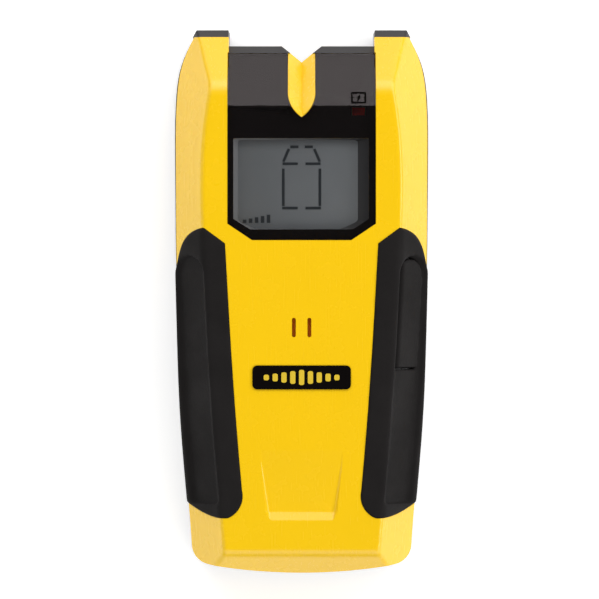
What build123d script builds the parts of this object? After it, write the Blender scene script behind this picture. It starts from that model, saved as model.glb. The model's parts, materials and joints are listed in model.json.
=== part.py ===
"""Hand-held stud finder with a display, a side button and a battery door.

It lies on its back: +X is to the right of the front face, +Y points to the notch end, +Z comes
out of the front face, and the flat back is Z = 0. Lengths are in millimetres.
"""

import os
from math import cos, radians, tan

from build123d import *

# Housing
half_length = 77.5
half_width = 36.4
parting_height = 10.0
wall = 2.2
side_step = 0.5  # how far the rear shell stands out past the front shell at the horns
tail_step = 0.1  # the same at the tail
step_start = 35.0  # where the step begins to shrink toward the tail
horn_inner = 20.8
deck_end = 73.0  # end of the housing between the horns
end_wall = 2.0
front_tip = half_length - end_wall
front_deck = deck_end - end_wall
front_tail = 0.15 - half_length
clear = 60.0  # a height well above the housing, for cutters
tail_radius = 146.0
tail_corner_radius = 5.5
back_edge_radius = 1.2

# Front face: a flat top between two sloping side facets
facet_fall = 1.45
facet_stretch = 1.761  # slant length of a facet for each millimetre across
ridge_radius = 1.6
facet_reach = 42.0
slope_angle = radians(34)
horn_crease = 61.2
horn_bend = 9.0  # radius of the bend from the flat top into the slope
tail_crease = -71.8
tail_angle = radians(52)
tail_bend = 3.5
crease_height = 32.6
tail_height = 30.75
face_stations = (  # along the body, half width of the flat top, height of the flat top
    (-84.0, 20.6, 30.2),
    (-60.0, 22.9, 31.3),
    (-38.0, 24.8, 32.0),
    (-14.0, 26.4, 32.5),
    (14.0, 27.8, 32.7),
    (40.0, 28.2, 32.7),
    (60.0, 26.0, 32.6),
    (84.0, 22.0, 32.2),
)
side_line = (  # right-hand edge of the housing, seen from the front
    (31.2, -82.0),
    (31.7, -68.0),
    (33.3, -49.0),
    (34.7, -31.0),
    (35.6, -8.0),
    (36.2, 15.0),
    (half_width, 38.0),
    (36.15, 58.0),
    (34.7, 67.6),
    (30.1, half_length),
    (27.0, 83.0),
)

# Window over the display
window_half = 21.1
window_foot = 17.4
window_corner = 22.1
window_foot_half = 14.1
window_height = 32.0
window_crease = 55.6
lens_thickness = 1.8
mask_thickness = 0.1
tape_thickness = 0.2
seat_thickness = 1.7
window_gap = 0.1
view_left = -19.4
view_right = 19.1
view_foot = 20.5
view_top = 46.4
view_corner = 23.5
view_foot_half = 14.6

# Pencil groove and notch
notch_half = 5.7
notch_apex = 68.4
notch_wall = 2.0
groove_half = 3.83
groove_shoulder = 60.5
groove_waist = (2.8, 55.4)
groove_tip = 52.4
groove_depth = 3.9

# Side grips
grip_proud = 0.5
grip_depth = 2.1
grip_backing = 4.2
grip_foot = 11.2
grip_side = 41.0  # past the side of the housing
backing_rim = 1.6
grip_ridge_radius = 3.0
recess_depth = 0.9
recess_rim = 0.4  # outward from the ridge
recess_tail = -57.4
recess_foot = 19.6  # height of its lower edge at the tail
recess_radius = 6.0

# Push button in the right grip
button_top = 30.0
button_foot = 21.6
button_tail = -18.8
button_round = (7.0, 26.8)  # centre of the round end, along the body and up
button_sink = 0.35
button_inner = 25.0
button_travel = 1.0
button_gap = 0.3
flange_rim = 1.3
plunger_y = -5.0
plunger_z = 20.6
plunger_radius = 1.5
boss_radius = 1.9
boss_ends = (26.1, 28.9)
flange_thickness = 1.35

# Circuit boards
board_thickness = 1.6
display_board_z = 22.4
display_board_half = 24.5
display_board_ends = (-15.0, 58.0)
sensor_board_z = 4.6
sensor_board_thickness = 1.2
sensor_board_half = 23.8
sensor_board_ends = (6.0, 64.0)
sensor_post_places = ((-21.5, 10.0), (21.5, 10.0), (-21.5, 60.0), (21.5, 60.0))
header_y = 53.5
header_pin_count = 6
header_pitch = 2.54
pin_half = 0.32
board_post_radius = 2.5
sensor_post_radius = 2.6
sensor_peg_radius = 0.95
board_screw_places = ((-21.5, -11.8), (21.5, -11.8), (-21.5, 54.0), (21.5, 54.0))
case_post_radius = 4.0
case_bore_radius = 1.7
case_pilot_radius = 1.48
case_recess_radius = 3.2
case_recess_depth = 5.0
case_screw_places = ((-28.3, 63.0), (28.3, 63.0), (-24.5, -67.0), (24.5, -67.0))

# Display stack, from the board up
glass_half = 20.6
glass_ends = (17.4, 50.0)
lower_pane_ends = (20.0, 47.4)
pane_thickness = 1.0
glass_top = 28.0
frame_top = 28.15

# Warning lamp beside the symbol, across and along the body
lamp_window = ((14.2, 18.2), (52.9, 55.2))

# Sounder
buzzer_centre = (0.0, -7.35)
buzzer_radius = 7.0
buzzer_height = 5.0
gasket_height = 0.8
felt_thickness = 0.3
slot_places = (-2.2, 2.2)
slot_width = 1.1
slot_length = 5.5
gasket_radius = 3.9
gasket_bore = 3.2

# Badge
badge_centre = (0.0, -21.5)
badge_size = (27.8, 6.6)
badge_floor = 31.6
badge_thickness = 1.2
badge_corner = 1.3
emblem_height = 0.15

# 9 V battery and its bay
battery_size = (26.5, 46.4, 17.5)
battery_foot_y = -66.0
battery_foot_z = 2.8
battery_end_y = battery_foot_y + battery_size[1]
terminal_height = 2.1
terminal_spacing = 12.7
terminal_radii = (2.8, 3.7)
snap_half = 6.2
bay_half = 14.1
bay_wall = 1.3
bay_ends = (-66.6, -12.4)
bay_roof = 20.7
lead_radius = 0.65
lead_bend = 1.6

# Battery door
door_half = 15.9
door_far_end = -13.3
door_gap = 0.3
door_face = 0.3
door_thickness = 2.0
hinge_y = -70.4
hinge_z = 2.2
knuckle_radius = 1.9
trunnion_radius = 1.0
trunnion_reach = 17.8
trunnion_gap = 0.08
latch_half = 5.0
latch_foot = -19.0
latch_reach = 0.9


def block(x, y, z):
    """A box from three pairs of low and high sides."""
    corner = Pos(x[0], y[0], z[0])
    return corner * Box(x[1] - x[0], y[1] - y[0], z[1] - z[0], align=(Align.MIN, Align.MIN, Align.MIN))


def mid_block(half, y, z):
    """A box that is centred across the housing."""
    return block((-half, half), y, z)


def drum(x, y, radius, z):
    """An upright cylinder."""
    upright = Cylinder(radius, z[1] - z[0], align=(Align.CENTER, Align.CENTER, Align.MIN))
    return Pos(x, y, z[0]) * upright


def crosswise_drum(y, z, radius, x):
    """A cylinder along X."""
    face = Plane.YZ * Pos(y, z) * Circle(radius)
    return Pos(x[0], 0, 0) * extrude(face, x[1] - x[0], dir=(1, 0, 0))


def upright(face, z):
    """A flat face in XY, extruded between two heights."""
    return Pos(0, 0, z[0]) * extrude(face, z[1] - z[0], dir=(0, 0, 1))


def crosswise(points, x):
    """A YZ polygon extruded along X."""
    face = Plane.YZ * Polygon(*points, align=None)
    return Pos(x[0], 0, 0) * extrude(face, x[1] - x[0], dir=(1, 0, 0))


def both_sides(shape):
    """The shape together with its mirror image across the middle plane."""
    return shape + mirror(shape, Plane.YZ)


def bodies(*shapes):
    """Separate solids kept together in one sub-part."""
    return Compound(children=[solid for shape in shapes for solid in shape.solids()])


# Housing outline and skin


def step_at(y):
    """How far the front shell's side is set in from the rear shell's."""
    share = min(max((y + half_length) / (step_start + half_length), 0.0), 1.0)
    return tail_step + (side_step - tail_step) * share


def outline(inset, tip, deck, tail, stepped):
    """The housing seen from the front, with its sides moved inward."""
    right = [(x - inset - (step_at(y) if stepped else 0.0), y) for x, y in side_line]
    left = [(-x, y) for x, y in reversed(right)]
    edge = Wire([Spline(*right), Line(right[-1], left[0]), Spline(*left), Line(left[-1], right[0])])
    face = make_face(edge) & (Pos(0, tail + tail_radius) * Circle(tail_radius))
    above = 20.0
    face -= Pos(0, tip + above) * Rectangle(4 * half_width, 2 * above)
    horn_edge = horn_inner + max(inset, 0)
    face -= Pos(0, deck + above) * Rectangle(2 * horn_edge, 2 * above)
    return face


def prism(inset, tip, deck, tail, z, stepped=False):
    """The outline extruded, with round corners at the tail."""
    solid = upright(outline(inset, tip, deck, tail, stepped), z)
    corners = [
        edge
        for edge in solid.edges().filter_by(Axis.Z)
        if edge.center().Y < -64 and abs(edge.center().X) > 20
    ]
    return fillet(corners, max(tail_corner_radius - inset, 1.0))


def skin(inset, radius=ridge_radius):
    """Everything under the front face, its side facets and its end slopes, moved inward."""
    sections = []
    for y, half_face, height in face_stations:
        shoulder = half_face - inset * (facet_stretch - 1) / facet_fall
        top = height - inset
        foot = top - facet_fall * (facet_reach - shoulder)
        corners = (
            (-facet_reach, -15),
            (facet_reach, -15),
            (facet_reach, foot),
            (shoulder, top),
            (-shoulder, top),
            (-facet_reach, foot),
        )
        plane = Plane(origin=(0, y, 0), x_dir=(1, 0, 0), z_dir=(0, -1, 0))
        sections.append(plane * Polygon(*corners, align=None))
    solid = loft(sections)
    solid -= above_slope(horn_crease, crease_height, slope_angle, inset, 1)
    solid -= above_slope(tail_crease, tail_height, tail_angle, inset, -1)
    if inset > 0:
        return fillet(front_edges(solid), radius)
    for end, bend in ((1, horn_bend), (-1, tail_bend)):
        crease = [edge for edge in front_edges(solid) if is_crease(edge) and edge.center().Y * end > 0]
        solid = fillet(crease, bend - inset)
    return fillet([edge for edge in front_edges(solid) if not is_crease(edge)], radius)


def front_edges(solid):
    """Edges between the front faces, without those on the rough block's own sides."""
    side, end = facet_reach - 1, face_stations[-1][0] - 1
    middles = [(edge, edge.center()) for edge in solid.edges()]
    return [edge for edge, at in middles if at.Z > 15 and abs(at.X) < side and abs(at.Y) < end]


def is_crease(edge):
    """Whether an edge runs straight across the middle of the face."""
    return abs(edge.center().X) < 5


def above_slope(crease, height, angle, inset, way):
    """Everything above a slope that falls from a crease toward one end of the housing."""
    back, reach, top = 8.0, 30.0, 60.0
    drop = inset / cos(angle)
    points = (
        (crease - way * back, height + back * tan(angle) - drop),
        (crease + way * reach, height - reach * tan(angle) - drop),
        (crease + way * reach, top),
        (crease - way * back, top),
    )
    return crosswise(points, (-60, 60))


def hull(inset, z, tip=front_tip, deck=front_deck, tail=front_tail, radius=ridge_radius):
    """The front shell's outside, moved inward, between two heights."""
    return skin(inset, radius) & prism(inset, tip, deck, tail, z, stepped=True)


def inner_hull(inset, z):
    """The hull moved inward at its ends as well as at its sides and top."""
    return hull(inset, z, front_tip - inset, front_deck - inset, front_tail + inset)


# Window, groove and notch


def window_level(depth, y):
    """Height of the window's surface, or of one below it, at a place along the body."""
    crease = window_crease - depth * tan(slope_angle / 2)
    if y <= crease:
        return window_height - depth
    return window_height - (y - window_crease) * tan(slope_angle) - depth / cos(slope_angle)


def window_band(top, bottom, half):
    """The layer between two depths below the window's surface."""
    low, high = 12.0, 80.0
    points = []
    for depth, ends in ((top, (low, high)), (bottom, (high, low))):
        crease = window_crease - depth * tan(slope_angle / 2)
        for y in (ends[0], crease, ends[1]):
            points.append((y, window_level(depth, y)))
    return crosswise(points, (-half, half))


def above_window(depth, half=60.0):
    """Everything above a depth below the window's surface."""
    return window_band(-40.0, depth, half)


def window_face(gap):
    """The window seen from the front."""
    deck = deck_end - end_wall - gap
    half = window_half - gap
    foot_half = window_foot_half - gap / 2
    foot = window_foot + gap
    return Polygon(
        (-half, deck),
        (-half, window_corner),
        (-foot_half, foot),
        (foot_half, foot),
        (half, window_corner),
        (half, deck),
        align=None,
    )


def view_face(gap=0.0):
    """The display opening seen from the front."""
    return Polygon(
        (view_left - gap, view_top + gap),
        (view_left - gap, view_corner),
        (-view_foot_half, view_foot - gap),
        (view_foot_half, view_foot - gap),
        (view_right + gap, view_corner),
        (view_right + gap, view_top + gap),
        align=None,
    )


def groove_face(gap=0.0):
    """The pencil groove's tongue seen from the front, with a pointed end."""
    half = groove_half + gap
    tip = groove_tip - gap
    waist = (groove_waist[0] + gap * 0.9, groove_waist[1] - gap * 0.4)
    end = 80.0
    edge = Wire(
        [
            Line((half, end), (half, groove_shoulder)),
            ThreePointArc((half, groove_shoulder), waist, (0, tip)),
            ThreePointArc((0, tip), (-waist[0], waist[1]), (-half, groove_shoulder)),
            Line((-half, groove_shoulder), (-half, end)),
            Line((-half, end), (half, end)),
        ]
    )
    return make_face(edge)


def groove_cut():
    """The V-shaped groove, deeper toward the notch."""
    crease_fall = (window_height - window_level(0, deck_end) + groove_depth) / (deck_end - groove_tip)
    sections = []
    spans = (
        (groove_tip - 0.2, 0.15),
        (groove_waist[1], groove_waist[0] + 0.15),
        (groove_shoulder, groove_half + 0.1),
        (75.0, groove_half + 0.3),
    )
    for y, half in spans:
        surface = window_level(0, y)
        crease = window_height - crease_fall * (y - groove_tip) - 0.05
        rise = 8.0
        over = surface + rise
        corners = ((-half, surface), (0, crease), (half, surface), (half, over), (-half, over))
        plane = Plane(origin=(0, y, 0), x_dir=(1, 0, 0), z_dir=(0, -1, 0))
        sections.append(plane * Polygon(*corners, align=None))
    return loft(sections, ruled=True)


def notch_face(offset=0.0):
    """The V notch at the end of the housing, seen from the front."""
    depth = deck_end - notch_apex
    half_per_depth = notch_half / depth
    stretch = (1 + half_per_depth**2) ** 0.5
    apex = notch_apex - offset * stretch / half_per_depth
    reach = 4.0
    half = (deck_end + reach - apex) * half_per_depth
    return Polygon((-half, deck_end + reach), (0, apex), (half, deck_end + reach), align=None)


# Grips and button


def grip_face(grow=0.0):
    """The right grip's zone seen from the front, open past the side of the housing."""
    inner = Spline(
        (21.7 - grow, 16.5),
        (20.9 - grow, 2.0),
        (19.7 - grow, -18.0),
        (18.2 - grow, -38.5),
        (16.9 - grow, -53.6),
    )
    end = Spline((21.0, -61.5 - grow), (26.7, -60.7 - grow), (32.0, -57.9 - grow), (grip_side, -52.0 - grow))
    bulge = (18.0 - grow * 0.8, -59.2 - grow * 0.6)
    corner = ThreePointArc((16.9 - grow, -53.6), bulge, (21.0, -61.5 - grow))
    side = Line((grip_side, -52.0 - grow), (grip_side, 2.0 + grow))
    shoulder = Spline((grip_side, 2.0 + grow), (36.3, 8.2 + grow), (33.7, 17.2 + grow), (27.8, 21.0 + grow))
    point = Line((27.8, 21.0 + grow), (21.7 - grow, 16.5))
    return make_face(Wire([inner, corner, end, side, shoulder, point]))


def finger_recess():
    """The long hollow along the right facet, with a lip all round and a round end."""
    y, z = button_round
    foot_line = ((recess_tail, recess_foot), (y, z - recess_radius))
    side = Polygon(*foot_line, (y, clear), (recess_tail, clear), align=None)
    side += Pos(y, z) * Circle(recess_radius)
    ridge = [(half_face + recess_rim, along) for along, half_face, height in face_stations]
    reach = 60.0
    front = Polygon(*ridge, (reach, ridge[-1][1]), (reach, ridge[0][1]), align=None)
    hollow = extrude(Plane.YZ * side, reach, dir=(1, 0, 0)) & upright(front, (0, clear))
    return hollow - skin(recess_depth)


def button_face(grow=0.0):
    """The push button seen from its side, in YZ, with a round end toward the notch."""
    y, z = button_round
    foot, top, tail = button_foot - grow, button_top + grow, button_tail - grow
    below_top = Polygon((tail, foot - 5), (y + 20, foot - 5), (y + 20, top), (tail, top), align=None)
    face = Polygon((tail, foot), (y, foot), (y, top), (tail, top), align=None)
    return (face + Pos(y, z) * Circle(z - foot)) & below_top


def button_prism(grow, inner):
    """The button's outline run out through the side of the housing."""
    reach = 45.0
    return Pos(inner, 0, 0) * extrude(Plane.YZ * button_face(grow), reach - inner, dir=(1, 0, 0))


# Rear shell


def ear_pair():
    """The two blocks that carry the door's trunnions."""
    return both_sides(block((door_half + door_gap, 19.0), (-73.5, -67.2), (0, 5.4)))


def trunnion_bores():
    reach = trunnion_reach + 0.3
    return crosswise_drum(hinge_y, hinge_z, trunnion_radius + trunnion_gap, (-reach, reach))


def battery_bay():
    """Walls and roof round the battery."""
    low, high = bay_ends
    half = bay_half + bay_wall
    bay = mid_block(half, (low - bay_wall, high + bay_wall), (wall - 0.2, bay_roof + bay_wall))
    bay -= mid_block(bay_half, (low, high), (-1, bay_roof))
    bay -= mid_block(4.5, (high - 1, high + bay_wall + 1), (17.9, bay_roof))
    return bay


def rear_shell():
    tip, deck, tail = half_length, deck_end, -half_length
    shell = prism(0.0, tip, deck, tail, (0, parting_height))
    back_rim = shell.edges().group_by(Axis.Z)[0]
    shell = chamfer(back_rim, back_edge_radius)
    shell -= prism(wall, tip - wall, deck - wall, tail + wall, (wall, parting_height + 1))
    cap = skin(0) & prism(0.1, tip, deck, tail, (parting_height - 1, clear))
    cap &= block((horn_inner, half_width), (front_tip, half_length), (parting_height - 1, clear))
    shell += both_sides(cap)
    bridge = mid_block(horn_inner, (front_deck, deck_end), (parting_height - 1, 30))
    shell += bridge - above_window(0.0)
    shell += upright(notch_face(notch_wall), (0.5, parting_height)) & mid_block(20, (60, deck_end), (0, 20))
    shell += battery_bay()
    for place in sensor_post_places:
        shell += drum(*place, sensor_post_radius, (wall - 0.2, sensor_board_z))
        shell += drum(*place, sensor_peg_radius, (sensor_board_z - 0.2, sensor_board_z + 2.2))
    for place in case_screw_places:
        shell += drum(*place, case_post_radius, (0.5, parting_height))
    shell += mid_block(door_half + 3.5, (-74.5, door_far_end + 3.0), (0.6, wall + 0.4))
    opening_ends = (hinge_y - knuckle_radius - door_gap, door_far_end + door_gap)
    shell -= mid_block(door_half + door_gap, opening_ends, (-1, wall + 0.5))
    shell -= mid_block(bay_half, bay_ends, (wall, bay_roof))
    shell -= mid_block(door_half + door_gap, (opening_ends[0], bay_ends[0] - bay_wall), (-1, 6))
    shell += ear_pair()
    shell -= trunnion_bores()
    shell -= latch_pocket()
    shell -= upright(notch_face(), (-1, clear))
    for x, y in case_screw_places:
        shell -= drum(x, y, case_recess_radius, (-1, case_recess_depth))
        shell -= drum(x, y, case_bore_radius, (case_recess_depth - 1, parting_height + 1))
    return shell


def latch_pocket():
    """Room above the opening's edge for the latch hook."""
    return mid_block(latch_half + 0.6, (door_far_end - 1, door_far_end + 1.3), (1.6, wall + 3.2))


# Front shell


def grip_zone(grow, foot):
    """The space that the right grip's zone covers, above its foot."""
    return upright(grip_face(grow), (foot, clear))


def front_shell():
    shell = hull(0.0, (parting_height, clear))
    cavity = inner_hull(wall, (parting_height - 1, clear))
    backing = grip_zone(backing_rim, grip_foot - 1.2) - inner_hull(grip_backing, (0, clear))
    cavity -= both_sides(backing)
    cavity -= upright(notch_face(notch_wall), (0, clear))
    seat_top = lens_thickness + mask_thickness + tape_thickness
    seat = above_window(seat_top + seat_thickness, window_half + wall)
    cavity -= seat & mid_block(half_width, (window_foot - wall, half_length), (0, clear))
    cavity -= groove_block()
    for x, y in case_screw_places:
        cavity -= drum(x, y, case_recess_radius, (parting_height + 0.15, clear))
    for x, y in board_screw_places:
        cavity -= drum(x, y, board_post_radius, (display_board_z + board_thickness, clear))
    cavity -= buzzer_ring()
    shell -= cavity
    shell -= upright(window_face(0.0), (0, clear)) & above_window(seat_top)
    tongue = groove_block() & mid_block(groove_half, (50, front_deck), (0, clear))
    shell += tongue
    shell -= groove_cut()
    shell -= upright(notch_face(), (0, clear))
    shell -= upright(view_face(), (26, clear))
    shell -= lamp_opening(0.3)
    slot = SlotOverall(slot_length, slot_width, rotation=90)
    for x in slot_places:
        shell -= upright(Pos(x, buzzer_centre[1]) * slot, (26, clear))
    shell -= upright(Pos(*badge_centre) * rounded_plate(0.1), (badge_floor, clear))
    shell -= palm_recess()
    pocket = grip_zone(0.0, grip_foot) - hull(grip_depth, (0, clear))
    shell -= both_sides(pocket)
    shell -= button_prism(button_gap, button_inner - button_travel - button_gap)
    for x, y in case_screw_places:
        shell -= drum(x, y, case_pilot_radius, (0, 20))
    for x, y in board_screw_places:
        shell -= drum(x, y, 1.02, (20, 27.6))
    return shell.solids().sort_by(SortBy.VOLUME)[-1]


def lamp_opening(gap):
    """The warning lamp's window, run up through everything above the board."""
    (left, right), (low, high) = lamp_window
    return block((left - gap, right + gap), (low - gap, high + gap), (20, clear))


def groove_block():
    """Solid stuff under the pencil groove."""
    return upright(groove_face(), (5, clear)) & window_band(-0.15, 6.4, groove_half + 1)


def buzzer_ring():
    """Two low ribs that centre the sounder under its slots."""
    x, y = buzzer_centre
    return drum(x, y, 5.0, (29.2, clear)) - drum(x, y, 4.0, (20, clear + 1))


def rounded_plate(gap):
    """The badge seen from the front."""
    return RectangleRounded(badge_size[0] + 2 * gap, badge_size[1] + 2 * gap, badge_corner + gap)


def palm_recess():
    """The shallow hollow low on the front face, with sloping sides, deepest near its tail end."""
    rise = 3.0
    sections = []
    for y, half, floor in ((-42.0, 11.9, 31.9), (-59.6, 9.3, 30.45), (-62.6, 8.8, 31.4)):
        corners = ((-half - rise, floor + rise), (-half, floor), (half, floor), (half + rise, floor + rise))
        plane = Plane(origin=(0, y, 0), x_dir=(1, 0, 0), z_dir=(0, -1, 0))
        sections.append(plane * Polygon(*corners, align=None))
    hollow = loft(sections, ruled=True)
    creases = [edge for edge in hollow.edges() if edge.center().Z < 31.5 and abs(edge.center().Y) < 61.5]
    return fillet(creases, 0.9)


def side_grip():
    """The right grip before the button's opening is cut."""
    outside = hull(-grip_proud, (parting_height, clear), tail=-half_length, radius=grip_ridge_radius)
    grip = grip_zone(0.0, grip_foot) & (outside - hull(grip_depth, (0, clear)))
    return grip - finger_recess()


def grip_right():
    grip = side_grip() - button_prism(button_gap, button_inner - button_travel - button_gap)
    return grip.solids().sort_by(SortBy.VOLUME)[-1]


def grip_left():
    return mirror(side_grip(), Plane.YZ)


def scan_button():
    rear = grip_backing + 0.1
    button = button_prism(0.0, button_inner) & hull(button_sink, (parting_height, clear))
    button -= inner_hull(rear, (0, clear))
    flange_zone = button_prism(flange_rim, button_inner + 0.6)
    front = rear + 0.05
    layer = inner_hull(front, (0, clear)) - inner_hull(front + flange_thickness, (-1, clear))
    button += flange_zone & layer
    button += crosswise_drum(plunger_y, plunger_z, boss_radius, boss_ends)
    return button.solids().sort_by(SortBy.VOLUME)[-1]


# Window pieces


def window_lens():
    lens = upright(window_face(window_gap), (0, clear)) & window_band(0.0, lens_thickness, 30)
    return lens - upright(groove_face(window_gap), (0, clear))


def window_mask():
    depth = lens_thickness
    mask = upright(window_face(window_gap), (0, clear)) & window_band(depth, depth + mask_thickness, 30)
    mask -= upright(groove_face(window_gap), (0, clear))
    mask -= upright(view_face(), (0, clear))
    return mask - lamp_opening(0.0)


def window_tape():
    depth = lens_thickness + mask_thickness
    rim = 1.5
    ring = upright(window_face(window_gap + 0.1), (0, clear)) - upright(view_face(0.2), (0, clear))
    tape = ring & window_band(depth, depth + tape_thickness, 30)
    tape -= lamp_opening(0.5)
    return tape - upright(groove_face(rim), (0, clear))


# Display pieces


def lcd_glass():
    low, high = glass_ends
    joint = glass_top - pane_thickness
    upper = mid_block(glass_half, (low, high), (joint, glass_top))
    return upper + mid_block(glass_half, lower_pane_ends, (joint - pane_thickness, joint))


def stroke(start, end, width):
    """One straight display segment between two points."""
    middle = ((start[0] + end[0]) / 2, (start[1] + end[1]) / 2)
    across, along = end[0] - start[0], end[1] - start[1]
    length = (across**2 + along**2) ** 0.5
    angle = Vector(across, along).get_angle(Vector(1, 0)) * (1 if along >= 0 else -1)
    return Pos(*middle) * Rot(0, 0, angle) * Rectangle(length, width)


def segment_faces():
    """The pointer above a frame, in half outlines that don't meet, and a low row of level bars."""
    width = 0.75
    half_strokes = (
        ((0.9, 44.0), (3.2, 44.0)),
        ((3.6, 43.4), (5.2, 39.8)),
        ((1.1, 39.2), (5.4, 39.2)),
        ((5.2, 37.8), (5.2, 27.2)),
        ((1.1, 26.6), (5.5, 26.6)),
    )
    faces = []
    for start, end in half_strokes:
        faces.append(stroke(start, end, width))
        faces.append(stroke((-start[0], start[1]), (-end[0], end[1]), width))
    bars, first_bar, bar_step, bar_foot = 5, -16.2, 1.7, 22.4
    for index in range(bars):
        height = 0.9 + 0.35 * index
        x = first_bar + bar_step * index
        faces.append(Pos(x, bar_foot + height / 2) * Rectangle(1.0, height))
    return faces


def lcd_segments():
    return bodies(*[upright(face, (glass_top, glass_top + 0.1)) for face in segment_faces()])


def lcd_frame():
    low, high = glass_ends
    floor = display_board_z + board_thickness
    frame = mid_block(glass_half + 2.0, (low - 1.2, high + 1.2), (floor, frame_top))
    return frame - mid_block(glass_half + 0.1, (low - 0.1, high + 0.1), (floor - 1, frame_top + 1))


def lcd_backlight():
    floor = display_board_z + board_thickness
    low, high = lower_pane_ends
    top = glass_top - 2 * pane_thickness - 0.05
    return mid_block(glass_half - 0.1, (low + 0.2, high - 0.2), (floor, top))


def zebra_strips():
    floor = display_board_z + board_thickness
    under = glass_top - pane_thickness
    low, high = glass_ends
    foot = mid_block(18.0, (low + 0.3, lower_pane_ends[0] - 0.3), (floor, under))
    head = mid_block(18.0, (lower_pane_ends[1] + 0.3, high - 0.3), (floor, under))
    return bodies(foot, head)


# Display board and what it carries


def display_board():
    low, high = display_board_ends
    z = (display_board_z, display_board_z + board_thickness)
    board = mid_block(display_board_half, (low, high), z)
    board = fillet(board.edges().filter_by(Axis.Z), 2.0)
    for x, y in board_screw_places:
        board -= drum(x, y, 1.2, (0, clear))
    return board - mid_block(groove_half + 1.5, (header_y + 1.7, high + 1), (0, clear))


def board_screws():
    under = display_board_z
    screws = []
    for x, y in board_screw_places:
        head = drum(x, y, 2.0, (under - 1.3, under))
        shank = drum(x, y, 1.0, (under, 27.4))
        cross = block((x - 1.2, x + 1.2), (y - 0.3, y + 0.3), (under - 2, under - 0.7))
        cross += block((x - 0.3, x + 0.3), (y - 1.2, y + 1.2), (under - 2, under - 0.7))
        screws.append(head + shank - cross)
    return bodies(*screws)


def chip(x, y, size, top, lead_count, body_height=1.3):
    """A flat chip under a board, with a row of leads down two sides."""
    half_x, half_y = size[0] / 2, size[1] / 2
    lift = 0.15
    z = (top - lift - body_height, top - lift)
    package = block((x - half_x, x + half_x), (y - half_y, y + half_y), z)
    step = (size[1] - 1.4) / (lead_count - 1)
    for side in (-1, 1):
        inner = x + side * (half_x - 0.1)
        outer = x + side * (half_x + 1.0)
        for index in range(lead_count):
            lead_y = y - half_y + 0.7 + step * index
            span_x = (min(inner, outer), max(inner, outer))
            package += block(span_x, (lead_y - 0.18, lead_y + 0.18), (top - 0.45, top))
    return package


def controller_chip():
    return chip(-8.0, 14.0, (8.0, 12.0), display_board_z, 12)


def small_components():
    """Chip resistors and capacitors under the display board."""
    pieces = []
    rows, spacing = ((4.0, 26.0), (4.0, 32.0), (-14.0, 30.0), (12.0, 8.0)), 2.6
    z = (display_board_z - 0.7, display_board_z)
    for first_x, y in rows:
        for index in range(4):
            x = first_x + spacing * index
            pieces.append(block((x - 0.6, x + 0.6), (y - 1.0, y + 1.0), z))
    return bodies(*pieces)


def crystal_can():
    face = Pos(-8.0, 25.0) * SlotOverall(10.0, 4.2)
    return upright(face, (display_board_z - 3.4, display_board_z))


def capacitors():
    """Two round electrolytic capacitors under the display board."""
    places = ((6.0, -2.0), (6.0, 6.5))
    cans = [drum(x, y, 2.5, (display_board_z - 5.6, display_board_z)) for x, y in places]
    return bodies(*cans)


def buzzer_can():
    x, y = buzzer_centre
    floor = display_board_z + board_thickness
    can = drum(x, y, buzzer_radius, (floor, floor + buzzer_height))
    can = fillet(can.edges().group_by(Axis.Z)[-1], 0.6)
    return can - drum(x, y, 1.1, (floor + 1.0, floor + buzzer_height + 1))


def buzzer_gasket():
    x, y = buzzer_centre
    floor = display_board_z + board_thickness + buzzer_height
    ring = drum(x, y, gasket_radius, (floor, floor + gasket_height))
    return ring - drum(x, y, gasket_bore, (floor - 1, floor + 2))


def sounder_felt():
    """Felt disc that keeps dust out of the sounder's slots."""
    floor = display_board_z + board_thickness + buzzer_height + gasket_height
    return drum(*buzzer_centre, gasket_radius, (floor, floor + felt_thickness))


def scan_switch():
    """Side-acting push switch under the right edge of the display board."""
    y = (plunger_y - 3.2, plunger_y + 3.2)
    switch = block((18.6, 23.6), y, (plunger_z - plunger_radius - 1.0, display_board_z))
    return switch - crosswise_drum(plunger_y, plunger_z, plunger_radius + 0.06, (20.2, 24))


def switch_plunger():
    return crosswise_drum(plunger_y, plunger_z, plunger_radius, (21.6, boss_ends[0] - 0.1))


def warning_led():
    """Red lamp behind the small window by the symbol."""
    floor = display_board_z + board_thickness
    (left, right), (low, high) = lamp_window
    return block((left + 0.2, right - 0.2), (low, high), (floor, 27.6))


def link_header():
    """Pin row that joins the two boards."""
    z = (sensor_board_z + sensor_board_thickness, display_board_z)
    return bodies(*[header_pin(x, 0.0, z) for x in header_places()])


def header_places():
    middle = (header_pin_count - 1) / 2
    return [header_pitch * (index - middle) for index in range(header_pin_count)]


def header_pin(x, gap, z):
    """One square pin, or the hole for it."""
    half = pin_half + gap
    return block((x - half, x + half), (header_y - half, header_y + half), z)


def header_bars():
    """Plastic bars that hold the pin row at both boards."""
    lower = sensor_board_z + sensor_board_thickness
    height = 2.5
    bars = []
    for z in ((lower, lower + height), (display_board_z - height, display_board_z)):
        bar = mid_block(header_pitch * header_pin_count / 2, (header_y - 1.25, header_y + 1.25), z)
        for x in header_places():
            bar -= header_pin(x, 0.02, (z[0] - 1, z[1] + 1))
        bars.append(bar)
    return bodies(*bars)


# Sensor board


def sensor_board():
    low, high = sensor_board_ends
    z = (sensor_board_z, sensor_board_z + sensor_board_thickness)
    board = mid_block(sensor_board_half, (low, high), z)
    board = fillet(board.edges().filter_by(Axis.Z), 2.0)
    for x, y in sensor_post_places:
        board -= drum(x, y, 1.05, (0, 20))
    return board


def sensor_plates():
    """Copper fields on the wall side of the sensor board."""
    z = (sensor_board_z - 0.1, sensor_board_z)
    low, high = 15.0, 55.0
    middle = mid_block(4.5, (low, high), z)
    side = block((7.0, 15.0), (low, high), z)
    return bodies(middle, side, mirror(side, Plane.YZ))


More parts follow.
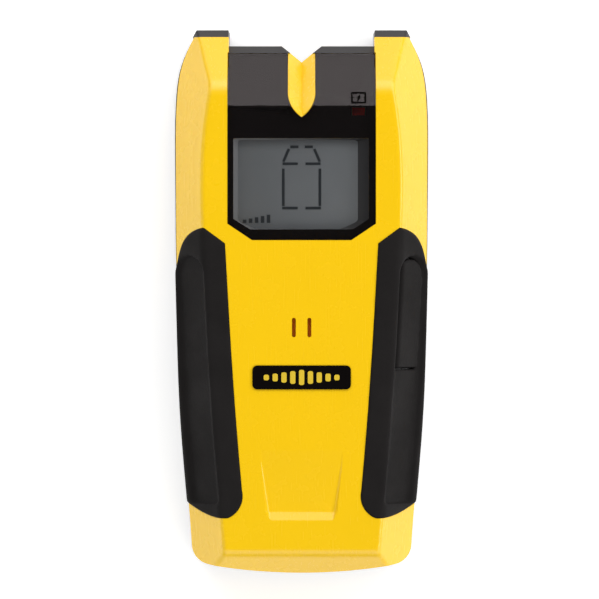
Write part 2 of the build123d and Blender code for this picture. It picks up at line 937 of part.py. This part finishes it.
def sensor_chip():
    top = sensor_board_z + sensor_board_thickness
    package = chip(0.0, 0.0, (5.0, 7.0), 0.0, 7)
    return Pos(2.0, 34.0, top) * Rot(0, 180, 0) * package


def shield_can():
    """Tinned cover beside the sensor chip."""
    top = sensor_board_z + sensor_board_thickness
    can = block((-18.0, -4.0), (24.0, 44.0), (top, top + 3.0))
    return can - block((-17.7, -4.3), (24.3, 43.7), (top - 1, top + 2.7))


# Battery, its leads and its door


def battery_body():
    width, length, thickness = battery_size
    y = (battery_foot_y, battery_foot_y + length)
    z = (battery_foot_z, battery_foot_z + thickness)
    can = mid_block(width / 2, y, z)
    return fillet(can.edges().filter_by(Axis.Y), 2.6)


def battery_middle_z():
    return battery_foot_z + battery_size[2] / 2


def terminal_plane(side, offset=0.0):
    """A plane on the battery's end, centred on one terminal and facing the notch end."""
    x = side * terminal_spacing / 2
    return Plane(origin=(x, battery_end_y + offset, battery_middle_z()), x_dir=(1, 0, 0), z_dir=(0, 1, 0))


def battery_terminals():
    """The small round stud and the wide crown on the battery's end."""
    stud_radius, crown_radius = terminal_radii
    crown = extrude(terminal_plane(1) * Circle(crown_radius), terminal_height)
    crown -= extrude(terminal_plane(1, 0.6) * Circle(crown_radius - 0.5), terminal_height)
    return bodies(extrude(terminal_plane(-1) * Circle(stud_radius), terminal_height), crown)


def battery_snap():
    """The clip that presses onto the two terminals."""
    z = battery_middle_z()
    clip = mid_block(12.8, (battery_end_y + 0.2, battery_end_y + 4.4), (z - snap_half, z + snap_half))
    for side, radius in zip((-1, 1), terminal_radii):
        clip -= extrude(terminal_plane(side) * Circle(radius + 0.1), terminal_height + 0.1)
    edges = clip.edges().filter_by(Axis.Y).filter_by(lambda edge: abs(edge.center().X) > 12)
    return fillet(edges, 3.0)


def battery_lead(x):
    """An insulated wire from the clip, over its edge and up to the display board."""
    start_y = battery_end_y + 2.6
    start_z = battery_middle_z() + snap_half
    end_y = -6.0
    level = 19.45
    route = FilletPolyline(
        (x, start_y, start_z),
        (x, start_y, level),
        (x, end_y, level),
        (x, end_y, display_board_z),
        radius=lead_bend,
    )
    return sweep(Plane(origin=route @ 0, z_dir=route % 0) * Circle(lead_radius), path=route)


def battery_foam():
    """Foam strip that keeps the battery from rattling under the bay's roof."""
    top = bay_roof
    return mid_block(9.0, (-60.0, -30.0), (battery_foot_z + battery_size[2], top))


def battery_door():
    face = (door_face, door_face + door_thickness)
    door = mid_block(door_half, (hinge_y, door_far_end), face)
    door += crosswise_drum(hinge_y, hinge_z, knuckle_radius, (-door_half, door_half))
    door += crosswise_drum(hinge_y, hinge_z, trunnion_radius, (-trunnion_reach, trunnion_reach))
    door -= mid_block(latch_half + 0.3, (latch_foot, 0), (-1, 10))
    return door


def door_latch():
    """The springy tongue in the door's free end, with a hook over the opening's edge."""
    top = door_face + door_thickness
    tongue = mid_block(latch_half, (latch_foot, door_far_end), (door_face, top))
    post = mid_block(latch_half, (door_far_end - 1.2, door_far_end), (top - 0.2, top + 1.6))
    nose = crosswise(
        (
            (door_far_end - 0.2, top + 0.35),
            (door_far_end + latch_reach, top + 0.35),
            (door_far_end + latch_reach, top + 0.7),
            (door_far_end - 0.2, top + 1.6),
        ),
        (-latch_half, latch_half),
    )
    return tongue + post + nose


# Badge and screws


def badge_plate():
    return upright(Pos(*badge_centre) * rounded_plate(0.0), (badge_floor, badge_floor + badge_thickness))


def badge_emblem():
    """A plain mark: level bars that rise to the middle."""
    x0, y0 = badge_centre
    top = badge_floor + badge_thickness
    heights = (1.6, 2.2, 2.9, 3.6, 4.3, 3.6, 2.9, 2.2, 1.6)
    step = 2.5
    bars = []
    for index, height in enumerate(heights):
        x = x0 + step * (index - len(heights) // 2)
        bars.append(upright(Pos(x, y0) * RectangleRounded(1.5, height, 0.5), (top, top + emblem_height)))
    return bodies(*bars)


def case_screws():
    screws = []
    for x, y in case_screw_places:
        head = drum(x, y, 2.8, (2.9, case_recess_depth))
        head = fillet(head.edges().group_by(Axis.Z)[0], 0.6)
        shank = drum(x, y, case_pilot_radius - 0.03, (case_recess_depth, 18.5))
        cross = block((x - 1.7, x + 1.7), (y - 0.4, y + 0.4), (2, 4.0))
        cross += block((x - 0.4, x + 0.4), (y - 1.7, y + 1.7), (2, 4.0))
        screws.append(head + shank - cross)
    return bodies(*screws)


sub_parts = {
    "front_shell": front_shell,
    "rear_shell": rear_shell,
    "grip_left": grip_left,
    "grip_right": grip_right,
    "scan_button": scan_button,
    "window_lens": window_lens,
    "window_mask": window_mask,
    "window_tape": window_tape,
    "lcd_glass": lcd_glass,
    "lcd_segments": lcd_segments,
    "lcd_frame": lcd_frame,
    "lcd_backlight": lcd_backlight,
    "zebra_strips": zebra_strips,
    "display_board": display_board,
    "board_screws": board_screws,
    "controller_chip": controller_chip,
    "small_components": small_components,
    "crystal_can": crystal_can,
    "capacitors": capacitors,
    "buzzer_can": buzzer_can,
    "buzzer_gasket": buzzer_gasket,
    "sounder_felt": sounder_felt,
    "scan_switch": scan_switch,
    "switch_plunger": switch_plunger,
    "warning_led": warning_led,
    "link_header": link_header,
    "header_bars": header_bars,
    "sensor_board": sensor_board,
    "sensor_plates": sensor_plates,
    "sensor_chip": sensor_chip,
    "shield_can": shield_can,
    "battery_body": battery_body,
    "battery_terminals": battery_terminals,
    "battery_snap": battery_snap,
    "battery_lead_red": lambda: battery_lead(-2.2),
    "battery_lead_black": lambda: battery_lead(2.2),
    "battery_foam": battery_foam,
    "battery_door": battery_door,
    "door_latch": door_latch,
    "badge_plate": badge_plate,
    "badge_emblem": badge_emblem,
    "case_screws": case_screws,
}

os.makedirs("parts", exist_ok=True)
for name, make in sub_parts.items():
    export_step(make(), f"parts/{name}.step")
    print(name)
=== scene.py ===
# Stud finder on its back on a pale floor, seen from straight above.
import json
import math

import bmesh
import bpy
from mathutils import Matrix, Vector


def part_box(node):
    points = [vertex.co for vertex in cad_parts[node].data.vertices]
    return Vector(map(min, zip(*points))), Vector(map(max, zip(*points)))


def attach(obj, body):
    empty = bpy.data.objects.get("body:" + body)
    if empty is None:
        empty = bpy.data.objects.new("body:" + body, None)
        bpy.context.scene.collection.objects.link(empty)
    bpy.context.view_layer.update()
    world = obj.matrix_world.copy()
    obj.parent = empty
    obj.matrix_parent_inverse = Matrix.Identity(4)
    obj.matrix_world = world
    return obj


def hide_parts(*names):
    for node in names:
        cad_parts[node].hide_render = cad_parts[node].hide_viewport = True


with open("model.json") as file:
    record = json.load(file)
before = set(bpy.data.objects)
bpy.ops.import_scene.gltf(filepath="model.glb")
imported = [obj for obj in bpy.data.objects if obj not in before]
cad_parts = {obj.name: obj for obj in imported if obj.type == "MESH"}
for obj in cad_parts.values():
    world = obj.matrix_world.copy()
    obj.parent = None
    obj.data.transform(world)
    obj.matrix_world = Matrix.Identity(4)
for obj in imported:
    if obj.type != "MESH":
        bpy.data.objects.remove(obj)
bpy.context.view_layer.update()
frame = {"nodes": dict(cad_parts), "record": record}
nodes = frame["nodes"]
print("frame loaded:", len(nodes), "nodes")


# Shader helpers

class Field:
    # a socket that Python operators can work on
    def __init__(self, tree, socket):
        self.tree = tree
        self.socket = socket

    def combine(self, operation, first, second):
        return addNode(self.tree, "ShaderNodeMath", {"operation": operation}, {0: first, 1: second})

    def __add__(self, other):
        return self.combine("ADD", self, other)

    def __sub__(self, other):
        return self.combine("SUBTRACT", self, other)

    def __rsub__(self, other):
        return self.combine("SUBTRACT", other, self)

    def __mul__(self, other):
        return self.combine("MULTIPLY", self, other)

    def __pow__(self, other):
        return self.combine("POWER", self, other)

    __radd__ = __add__
    __rmul__ = __mul__


def addNode(tree, kind, settings=None, inputs=None, output=0):
    node = tree.nodes.new(kind)
    for name, value in (settings or {}).items():
        setattr(node, name, value)
    for key, value in (inputs or {}).items():
        if isinstance(value, Field):
            tree.links.new(value.socket, node.inputs[key])
        else:
            node.inputs[key].default_value = value
    return Field(tree, node.outputs[output])


class Finish:
    # one material: constants go on the shader's own sockets, fields are linked
    def __init__(self, name, color, **constants):
        self.material = bpy.data.materials.new(name)
        self.material.use_nodes = True
        self.tree = self.material.node_tree
        self.shader = self.tree.nodes["Principled BSDF"]
        self.color = (*color, 1)
        self.shader.inputs["Base Color"].default_value = self.color
        for key, value in constants.items():
            self.shader.inputs[key.replace("_", " ")].default_value = value
        self.place = self.node("ShaderNodeTexCoord", output="Object")

    def node(self, kind, settings=None, inputs=None, output=0):
        return addNode(self.tree, kind, settings, inputs, output)

    def noise(self, grain, detail=2, place=None):
        # grain is the size of the pattern in millimetres
        inputs = {"Vector": place or self.place, "Scale": 1000 / grain, "Detail": detail}
        return self.node("ShaderNodeTexNoise", None, inputs)

    def streaks(self, width, length, angle):
        # long thin marks, width and length in millimetres, turned about the body's normal
        turn = {"Rotation": (0, 0, math.radians(angle)), "Scale": (1.0, width / length, 1.0)}
        along = self.node("ShaderNodeMapping", None, {"Vector": self.place, **turn})
        return self.noise(width, 2, along)

    def cells(self, scale):
        return self.node("ShaderNodeTexVoronoi", None, {"Vector": self.place, "Scale": scale})

    def bands(self, direction, scale, distortion):
        inputs = {"Vector": self.place, "Scale": scale, "Distortion": distortion}
        return self.node("ShaderNodeTexWave", {"bands_direction": direction}, inputs)

    def ramp(self, field, low, high, start=0.0, end=1.0):
        inputs = {"Value": field, "From Min": low, "From Max": high, "To Min": start, "To Max": end}
        return self.node("ShaderNodeMapRange", {"clamp": True}, inputs)

    def along(self, axis):
        # position on one axis, in metres
        return self.node("ShaderNodeSeparateXYZ", None, {"Vector": self.place}, axis)

    def tint(self, factor, first, second):
        first = first if isinstance(first, Field) else (*first, 1)
        second = second if isinstance(second, Field) else (*second, 1)
        return self.node("ShaderNodeMix", {"data_type": "RGBA"}, {0: factor, 6: first, 7: second}, 2)

    def feed(self, socket, field):
        self.tree.links.new(field.socket, self.shader.inputs[socket])

    def bump(self, height, distance, strength=1.0, below=None):
        inputs = {"Height": height, "Distance": distance, "Strength": strength}
        if below:
            inputs["Normal"] = below
        return self.node("ShaderNodeBump", None, inputs)


def shade(color, factor):
    return tuple(channel * factor for channel in color)


# Finishes

yellow = (0.97, 0.6, 0.001)
softBlack = (0.0135, 0.0122, 0.012)


def aroundButton(finish):
    # 1 on the shell close round the scan button, where the grip's black rubber lines its opening
    low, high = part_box("scan_button")
    margins = ((0.0012, -0.0012), (0.0012, -0.0008), (0.0012, 0.0012))
    blend = 0.0001
    inside = 1.0
    for axis, (before, beyond) in enumerate(margins):
        along = finish.along(axis)
        above = finish.ramp(along, low[axis] - before, low[axis] - before + blend)
        below = finish.ramp(along, high[axis] + beyond, high[axis] + beyond + blend, 1, 0)
        inside = inside * above * below
    return inside


def yellowPlastic():
    finish = Finish("yellowPlastic", yellow, Roughness=0.3, IOR=1.49, Specular_IOR_Level=0.75)
    cloud = finish.noise(18, 2)
    flow = finish.noise(70, 1)
    base = finish.tint(cloud, shade(yellow, 0.97), shade(yellow, 1.02))
    flowed = finish.tint(finish.ramp(flow, 0.35, 0.65, 0, 0.3), base, (0.95, 0.575, 0.002))
    finish.feed("Base Color", finish.tint(aroundButton(finish), flowed, softBlack))
    scuff = finish.ramp(finish.streaks(0.6, 14, 32), 0.62, 0.74)
    finish.feed("Roughness", 0.245 + 0.05 * finish.noise(5, 3) + 0.03 * scuff)
    grain = finish.noise(0.35, 2)
    ripple = finish.noise(9, 1)
    fine = finish.bump(grain, 0.000003, 0.2)
    finish.feed("Normal", finish.bump(ripple, 0.00006, 0.05, fine))
    return finish.material


def darkPlastic():
    dark = (0.026, 0.0235, 0.024)
    finish = Finish("darkPlastic", dark, Roughness=0.36, IOR=1.5)
    finish.feed("Base Color", finish.tint(finish.noise(9, 3), shade(dark, 0.85), shade(dark, 1.2)))
    scuff = finish.ramp(finish.streaks(0.5, 18, -20), 0.62, 0.72)
    finish.feed("Roughness", 0.29 + 0.12 * finish.noise(1.5, 4) + 0.12 * scuff)
    pebble = finish.cells(2400)
    finish.feed("Normal", finish.bump(pebble, 0.00003, 0.5))
    return finish.material


def gripRubber():
    finish = Finish("gripRubber", softBlack, Roughness=0.62, IOR=1.45, Specular_IOR_Level=0.06)
    handled = finish.ramp(finish.noise(16, 3), 0.42, 0.66)
    base = finish.tint(finish.noise(6, 4), shade(softBlack, 0.85), shade(softBlack, 1.2))
    finish.feed("Base Color", finish.tint(handled * 0.25, base, shade(softBlack, 1.6)))
    finish.feed("Roughness", 0.56 + 0.14 * finish.noise(1.2, 3) - 0.10 * handled)
    pebble = finish.cells(1700)
    finish.feed("Normal", finish.bump(pebble, 0.00005, 0.6))
    return finish.material


def clearWindow():
    # clear sheet: see-through face on, with a gloss that grows toward grazing
    finish = Finish("clearWindow", (1, 1, 1))
    tree = finish.tree
    clear = tree.nodes.new("ShaderNodeBsdfTransparent")
    clear.inputs["Color"].default_value = (0.95, 0.955, 0.96, 1)
    gloss = tree.nodes.new("ShaderNodeBsdfGlossy")
    gloss.inputs["Roughness"].default_value = 0.1
    gloss.inputs["Color"].default_value = (1.0, 0.9, 0.9, 1)
    facing = finish.node("ShaderNodeLayerWeight", None, {"Blend": 0.5}, 1)
    # only the outer face carries the gloss, so the printed mask behind shows clean
    leaving = finish.node("ShaderNodeNewGeometry", output=6)
    edge = (0.055 + 0.9 * facing ** 5) * (1.0 - leaving)
    mix = tree.nodes.new("ShaderNodeMixShader")
    tree.links.new(edge.socket, mix.inputs[0])
    tree.links.new(clear.outputs[0], mix.inputs[1])
    tree.links.new(gloss.outputs[0], mix.inputs[2])
    tree.nodes.remove(finish.shader)
    tree.links.new(mix.outputs[0], tree.nodes["Material Output"].inputs["Surface"])
    return finish.material


def displayGlass():
    # grey reflective display, with painted light making it a little paler toward its right side
    tone = (0.125, 0.13, 0.134)
    finish = Finish("displayGlass", tone, Roughness=0.24, IOR=1.5)
    cloud = finish.noise(14, 2)
    low, high = (corner[0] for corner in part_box("lcd_glass"))
    across = finish.along(0)
    # painted light: the display's grey is scaled up toward its right side
    paintedLightAcross = finish.ramp(across, low, high, 0.95, 1.3)
    tinted = finish.tint(cloud, shade(tone, 0.93), shade(tone, 1.09))
    finish.feed("Base Color", finish.node(
        "ShaderNodeVectorMath", {"operation": "SCALE"}, {0: tinted, "Scale": paintedLightAcross},
    ))
    finish.feed("Roughness", 0.2 + 0.1 * finish.noise(0.5, 3))
    finish.feed("Normal", finish.bump(finish.noise(0.25, 2), 0.00001, 0.25))
    return finish.material


def circuitBoard():
    # green solder resist with paler lines over the copper under it
    green, copper = (0.008, 0.12, 0.045), (0.02, 0.2, 0.07)
    finish = Finish("circuitBoard", green, Roughness=0.3, IOR=1.5)
    across = finish.bands("X", 130, 3.0)
    along = finish.bands("Y", 90, 4.0)
    tracks = finish.ramp(across, 0.7, 0.76) * finish.ramp(finish.noise(11, 1), 0.45, 0.5)
    links = finish.ramp(along, 0.75, 0.8) * finish.ramp(finish.noise(13, 1), 0.5, 0.55)
    raised = finish.node("ShaderNodeMath", {"operation": "MAXIMUM"}, {0: tracks, 1: links})
    finish.feed("Base Color", finish.tint(raised, green, copper))
    finish.feed("Roughness", 0.26 + 0.1 * finish.noise(0.8, 3))
    finish.feed("Normal", finish.bump(raised, 0.00004, 0.6))
    return finish.material


def brushedMetal(name, color, roughness):
    # turned or drawn metal: long fine lines along the body, with a few tarnished clouds
    finish = Finish(name, color, Roughness=roughness, Metallic=1.0)
    lines = finish.streaks(0.12, 30, 0)
    tarnish = finish.ramp(finish.noise(3, 4), 0.5, 0.75, 0, 0.5)
    finish.feed("Base Color", finish.tint(tarnish, color, shade(color, 0.7)))
    finish.feed("Roughness", roughness * 0.8 + 0.2 * lines)
    finish.feed("Normal", finish.bump(lines, 0.00001, 0.3))
    return finish.material


def feltDisc():
    brown = (0.62, 0.19, 0.006)
    finish = Finish("brownFelt", brown, Roughness=0.95)
    fibre = finish.noise(0.22, 6)
    finish.feed("Base Color", finish.tint(fibre, shade(brown, 0.6), shade(brown, 1.4)))
    finish.feed("Roughness", 0.85 + 0.1 * fibre)
    finish.feed("Normal", finish.bump(fibre, 0.0001, 0.8))
    return finish.material


def foamRubber():
    grey = (0.04, 0.04, 0.042)
    finish = Finish("foam", grey, Roughness=0.95)
    cells = finish.cells(2800)
    finish.feed("Base Color", finish.tint(cells, shade(grey, 0.5), shade(grey, 1.8)))
    finish.feed("Roughness", 0.85 + 0.12 * finish.noise(1.0, 2))
    finish.feed("Normal", finish.bump(cells, 0.00015, 0.8))
    return finish.material


def batteryJacket():
    # dark printed jacket with a plain copper-coloured band at the terminal end
    low, high = (corner[1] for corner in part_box("battery_body"))
    jacket, band = (0.03, 0.032, 0.036), (0.62, 0.27, 0.08)
    bandStart, blend = 0.7, 0.0001
    finish = Finish("batteryJacket", jacket, Roughness=0.32, Metallic=0.6)
    along = finish.along(1)
    edge = low + bandStart * (high - low)
    onBand = finish.ramp(along, edge - blend, edge + blend)
    worn = finish.noise(4, 4)
    dark = finish.tint(worn, shade(jacket, 0.8), shade(jacket, 1.3))
    copper = finish.tint(worn, shade(band, 0.85), shade(band, 1.1))
    finish.feed("Base Color", finish.tint(onBand, dark, copper))
    finish.feed("Roughness", 0.26 + 0.14 * finish.noise(1.4, 3))
    finish.feed("Normal", finish.bump(finish.noise(6, 2), 0.0002, 0.1))
    return finish.material


def plain(name, color, roughness=0.5, metallic=0.0, grain=1.0, depth=0.00001, gloss=0.5):
    finish = Finish(name, color, Roughness=roughness, Metallic=metallic, Specular_IOR_Level=gloss)
    cloud = finish.noise(grain * 6, 3)
    finish.feed("Base Color", finish.tint(cloud, shade(color, 0.9), shade(color, 1.1)))
    finish.feed("Roughness", roughness * 0.85 + (roughness * 0.3) * finish.noise(grain, 3))
    finish.feed("Normal", finish.bump(finish.noise(grain * 0.4, 2), depth, 0.4))
    return finish.material


paddedFoam = foamRubber()
slotPaint = {
    "yellow_shell": yellowPlastic(),
    "dark_shell": darkPlastic(),
    "soft_grip": gripRubber(),
    "smoked_window": clearWindow(),
    "black_print": plain("blackPrint", (0.0034, 0.0024, 0.0024), 0.7, grain=4, gloss=0.02),
    "yellow_print": plain("yellowPrint", (0.72, 0.5, 0.03), 0.4, grain=0.4),
    "tape": paddedFoam,
    "display_glass": displayGlass(),
    "display_ink": plain("displayInk", (0.012, 0.015, 0.018), 0.4, grain=0.5),
    "frame_plastic": plain("framePlastic", (0.02, 0.02, 0.02), 0.45, depth=0.00002),
    "backlight": plain("backlight", (0.8, 0.82, 0.8), 0.5),
    "zebra_rubber": plain("zebraRubber", (0.3, 0.3, 0.3), 0.6),
    "board": circuitBoard(),
    "steel": brushedMetal("platedSteel", (0.52, 0.52, 0.54), 0.3),
    "chip_black": plain("chipBlack", (0.018, 0.018, 0.019), 0.5, grain=0.3, depth=0.00002),
    "bright_metal": brushedMetal("brightMetal", (0.7, 0.7, 0.72), 0.22),
    "buzzer_black": plain("buzzerBlack", (0.02, 0.02, 0.02), 0.45, depth=0.00002),
    "foam": paddedFoam,
    "felt": feltDisc(),
    "plunger": plain("plunger", (0.7, 0.7, 0.65), 0.4),
    "red_lamp": plain("redLamp", (0.10, 0.004, 0.004), 0.25),
    "contacts": brushedMetal("goldContacts", (0.8, 0.52, 0.18), 0.25),
    "battery_case": batteryJacket(),
    "nickel": brushedMetal("nickel", (0.7, 0.68, 0.62), 0.2),
    "snap": plain("snapVinyl", (0.018, 0.018, 0.018), 0.55, depth=0.00002),
    "lead_red": plain("leadRed", (0.45, 0.008, 0.008), 0.35, grain=0.5),
    "lead_black": plain("leadBlack", (0.018, 0.018, 0.018), 0.35, grain=0.5),
}
nodeSlots = {part["node"]: part["material_slot"] for part in frame["record"]["subparts"]}
for name, node in nodes.items():
    node.data.materials.clear()
    node.data.materials.append(slotPaint[nodeSlots[name]])
print("finishes made")


# Printed symbol on the window's slope: a rounded frame with a bolt, in matt ink, in metres

symbol = {
    "centre": (0.0162, 0.0579),
    "halfWidth": 0.0022,
    "halfHeight": 0.0020,
    "corner": 0.0006,
    "line": 0.00055,
    "boltWidth": 0.000992,
    "boltHeight": 0.00124,
    "boltHalf": ((0.55, 1.18), (-0.6, 0.03), (0.35, 0.03)),
    "ink": 0.00005,
    "dropFrom": 0.1,
}


def symbolMesh():
    shape = bmesh.new()
    square = bmesh.ops.create_grid(shape, x_segments=1, y_segments=1, size=1.0)
    bmesh.ops.scale(shape, vec=(symbol["halfWidth"], symbol["halfHeight"], 1), verts=square["verts"])
    bmesh.ops.bevel(
        shape, geom=list(shape.verts), offset=symbol["corner"], segments=4,
        profile=0.5, affect="VERTICES", material=-1,
    )
    bmesh.ops.inset_individual(
        shape, faces=list(shape.faces), thickness=symbol["line"], use_even_offset=True,
    )
    middle = [face for face in shape.faces if face.calc_center_median().length < symbol["line"]]
    bmesh.ops.delete(shape, geom=middle, context="FACES")
    wide, tall = symbol["boltWidth"], symbol["boltHeight"]
    for way in (1, -1):
        # each half of the bolt is a thin triangle, point to point
        half = [shape.verts.new((x * wide * way, y * tall * way, 0)) for x, y in symbol["boltHalf"]]
        shape.faces.new(half)
    bmesh.ops.recalc_face_normals(shape, faces=list(shape.faces))
    for face in shape.faces:
        if face.normal.z < 0:
            face.normal_flip()
    raised = bmesh.ops.extrude_face_region(shape, geom=list(shape.faces))
    tops = [part for part in raised["geom"] if isinstance(part, bmesh.types.BMVert)]
    bmesh.ops.translate(shape, vec=(0, 0, symbol["ink"]), verts=tops)
    bmesh.ops.recalc_face_normals(shape, faces=list(shape.faces))
    mesh = bpy.data.meshes.new("window_symbol")
    shape.to_mesh(mesh)
    shape.free()
    return mesh


def makeSymbol():
    above = Vector((*symbol["centre"], symbol["dropFrom"]))
    point, normal = nodes["window_lens"].ray_cast(above, Vector((0, 0, -1)))[1:3]
    tilt = Matrix.Rotation(-math.atan2(normal.y, normal.z), 4, "X")
    mesh = symbolMesh()
    mesh.transform(Matrix.Translation(point + normal * symbol["ink"]) @ tilt)
    piece = bpy.data.objects.new("window_symbol", mesh)
    bpy.context.scene.collection.objects.link(piece)
    ink = plain("symbolInk", (0.002, 0.0016, 0.0016), 0.8, grain=0.3, gloss=0.02)
    mesh.materials.append(ink)
    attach(piece, "housing")


makeSymbol()
print("symbol made")


# Sloping walls between the window's opening and the display, in metres

bezel = {
    "top": 0.0298,
    "foot": 0.02803,
    "left": 0.0012,  # in from the display glass's own edges
    "right": 0.0015,
    "near": 0.0031,
    "far": 0.0036,
    "cornerRise": 0.0022,
    "cornerRun": 0.0046,
    "slopes": {"left": 0.0013, "right": 0.0031, "near": 0.0002, "far": 0.0005},
    "wall": 0.0002,
    "rounding": 0.0006,
    "sharpAngle": 35,
}


def bezelPlastic(left, right):
    # grey moulding, dark along the right where the glass's own frame shades it
    pale, dark = (0.17, 0.17, 0.172), (0.018, 0.017, 0.018)
    finish = Finish("bezelPlastic", pale, Roughness=0.4, Specular_IOR_Level=0.2)
    across = finish.along(0)
    shaded = finish.ramp(across, left, right)
    finish.feed("Base Color", finish.tint(shaded, pale, dark))
    finish.feed("Roughness", 0.36 + 0.1 * finish.noise(0.6, 3))
    finish.feed("Normal", finish.bump(finish.noise(0.4, 2), 0.00001, 0.3))
    return finish.material


def makeBezel():
    low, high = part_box("lcd_glass")
    left, right = low[0] + bezel["left"], high[0] - bezel["right"]
    near, far = low[1] + bezel["near"], high[1] - bezel["far"]
    rise, run = bezel["cornerRise"], bezel["cornerRun"]
    slopes = bezel["slopes"]
    shape = bmesh.new()
    outline = [
        (left, far), (left, near + rise), (left + run, near),
        (right - run, near), (right, near + rise), (right, far),
    ]
    rim = [shape.verts.new((x, y, bezel["top"])) for x, y in outline]
    for first, second in zip(rim, rim[1:] + rim[:1]):
        shape.edges.new((first, second))
    walls = bmesh.ops.extrude_edge_only(shape, edges=list(shape.edges))
    foot = [part for part in walls["geom"] if isinstance(part, bmesh.types.BMVert)]
    middle = (left + right) / 2
    for vert in foot:
        vert.co.z = bezel["foot"]
        vert.co.x += slopes["left"] if vert.co.x < middle else -slopes["right"]
        vert.co.y += -slopes["far"] if vert.co.y > far - rise else slopes["near"]
    upright = [
        edge for edge in shape.edges
        if abs(edge.verts[0].co.z - edge.verts[1].co.z) > bezel["wall"]
    ]
    bmesh.ops.bevel(
        shape, geom=upright, offset=bezel["rounding"], segments=4,
        profile=0.5, affect="EDGES", material=-1,
    )
    bmesh.ops.recalc_face_normals(shape, faces=list(shape.faces))
    centre = Vector((middle, (near + far) / 2, bezel["top"]))
    inward = sum((face.normal.dot(centre - face.calc_center_median()) for face in shape.faces), 0.0)
    if inward < 0:
        bmesh.ops.reverse_faces(shape, faces=list(shape.faces))
    bmesh.ops.solidify(shape, geom=list(shape.faces), thickness=bezel["wall"])
    bmesh.ops.recalc_face_normals(shape, faces=list(shape.faces))
    mesh = bpy.data.meshes.new("display_bezel")
    shape.to_mesh(mesh)
    shape.free()
    mesh.shade_smooth()
    mesh.set_sharp_from_angle(angle=math.radians(bezel["sharpAngle"]))
    piece = bpy.data.objects.new("display_bezel", mesh)
    bpy.context.scene.collection.objects.link(piece)
    mesh.materials.append(bezelPlastic(left, right))
    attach(piece, "housing")


makeBezel()
print("bezel made")


# Soft grips and button: the same shapes with their edges rounded, as moulded rubber is

softGrip = {
    "weld": 0.000002,
    "voxel": 0.00036,
    "smoothing": 16,
    "nodes": {"grip_left": "housing", "grip_right": "housing", "scan_button": "scan_button"},
}


def softCopy(name, body):
    shape = bmesh.new()
    shape.from_mesh(nodes[name].data)
    bmesh.ops.remove_doubles(shape, verts=list(shape.verts), dist=softGrip["weld"])
    mesh = bpy.data.meshes.new(name + "_soft")
    shape.to_mesh(mesh)
    shape.free()
    piece = bpy.data.objects.new(name + "_soft", mesh)
    bpy.context.scene.collection.objects.link(piece)
    remesh = piece.modifiers.new("even", "REMESH")
    remesh.mode = "VOXEL"
    remesh.voxel_size = softGrip["voxel"]
    remesh.use_smooth_shade = True
    relax = piece.modifiers.new("round", "SMOOTH")
    relax.iterations = softGrip["smoothing"]
    relax.factor = 0.5
    finished = piece.evaluated_get(bpy.context.evaluated_depsgraph_get())
    piece.data = bpy.data.meshes.new_from_object(finished)
    piece.data.name = name + "_soft"
    piece.modifiers.clear()
    piece.data.materials.clear()
    piece.data.materials.append(slotPaint["soft_grip"])
    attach(piece, body)
    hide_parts(name)
    return len(piece.data.polygons)


for name, body in softGrip["nodes"].items():
    print(name, softCopy(name, body), "faces")


# Floor, light and camera

studio = {
    "floorSize": 6.0,
    "floorDrop": -0.0002,
    "floorGlow": 0.4,
    "lens": 300,
    "viewWidth": 0.1713,
    "viewCentre": (-0.0006, 0.0006),
    "viewHeight": 0.02,
    "sensor": 36,
    "air": 0.05,
}
bpy.ops.mesh.primitive_plane_add(size=studio["floorSize"], location=(0, 0, studio["floorDrop"]))
floor = bpy.context.object
floor.name = "floor"
floorFinish = Finish("floorPaper", (0.95, 0.95, 0.95), Roughness=0.9)
paper = floorFinish.tint(floorFinish.noise(30, 3), (0.94, 0.94, 0.94), (0.96, 0.96, 0.96))
floorFinish.feed("Base Color", paper)
floorFinish.shader.inputs["Emission Color"].default_value = (1, 1, 1, 1)
floorFinish.shader.inputs["Emission Strength"].default_value = studio["floorGlow"]
floor.data.materials.append(floorFinish.material)

softboxes = {
    "right": {"place": (1.35, 0.0, 0.8), "size": (2.4, 0.5), "power": 15},
    "left": {"place": (-1.35, 0.0, 0.8), "size": (2.4, 0.9), "power": 5},
    "notchEnd": {"place": (0.0, 1.4, 0.8), "size": (2.4, 1.4), "power": 13.3},
    "tailEnd": {"place": (0.0, -1.4, 0.8), "size": (2.4, 1.4), "power": 3.8},
    "aboveNotch": {"place": (0.0, 1.05, 1.17), "size": (2.6, 1.0), "power": 13},
    "aboveTail": {"place": (0.0, -1.05, 1.17), "size": (2.6, 1.0), "power": 10.5},
}
for name, box in softboxes.items():
    lamp = bpy.data.lights.new(name, "AREA")
    lamp.shape = "RECTANGLE"
    lamp.size, lamp.size_y = box["size"]
    lamp.energy = box["power"]
    holder = bpy.data.objects.new(name, lamp)
    bpy.context.scene.collection.objects.link(holder)
    holder.location = box["place"]
    aim = Vector((0, 0, studio["viewHeight"])) - Vector(box["place"])
    holder.rotation_euler = aim.to_track_quat("-Z", "Y").to_euler()

world = bpy.data.worlds.new("studioAir")
bpy.context.scene.world = world
world.use_nodes = True
world.node_tree.nodes["Background"].inputs["Color"].default_value = (1, 1, 1, 1)
world.node_tree.nodes["Background"].inputs["Strength"].default_value = studio["air"]

camera = bpy.data.cameras.new("camera")
camera.lens = studio["lens"]
camera.sensor_width = studio["sensor"]
reach = studio["viewWidth"] * camera.lens / camera.sensor_width
eye = bpy.data.objects.new("camera", camera)
bpy.context.scene.collection.objects.link(eye)
eye.location = (*studio["viewCentre"], studio["viewHeight"] + reach)
camera.clip_end = 20
bpy.context.scene.camera = eye
bpy.context.scene.view_settings.view_transform = "Standard"
bpy.context.scene.view_settings.look = "None"
print("studio ready")
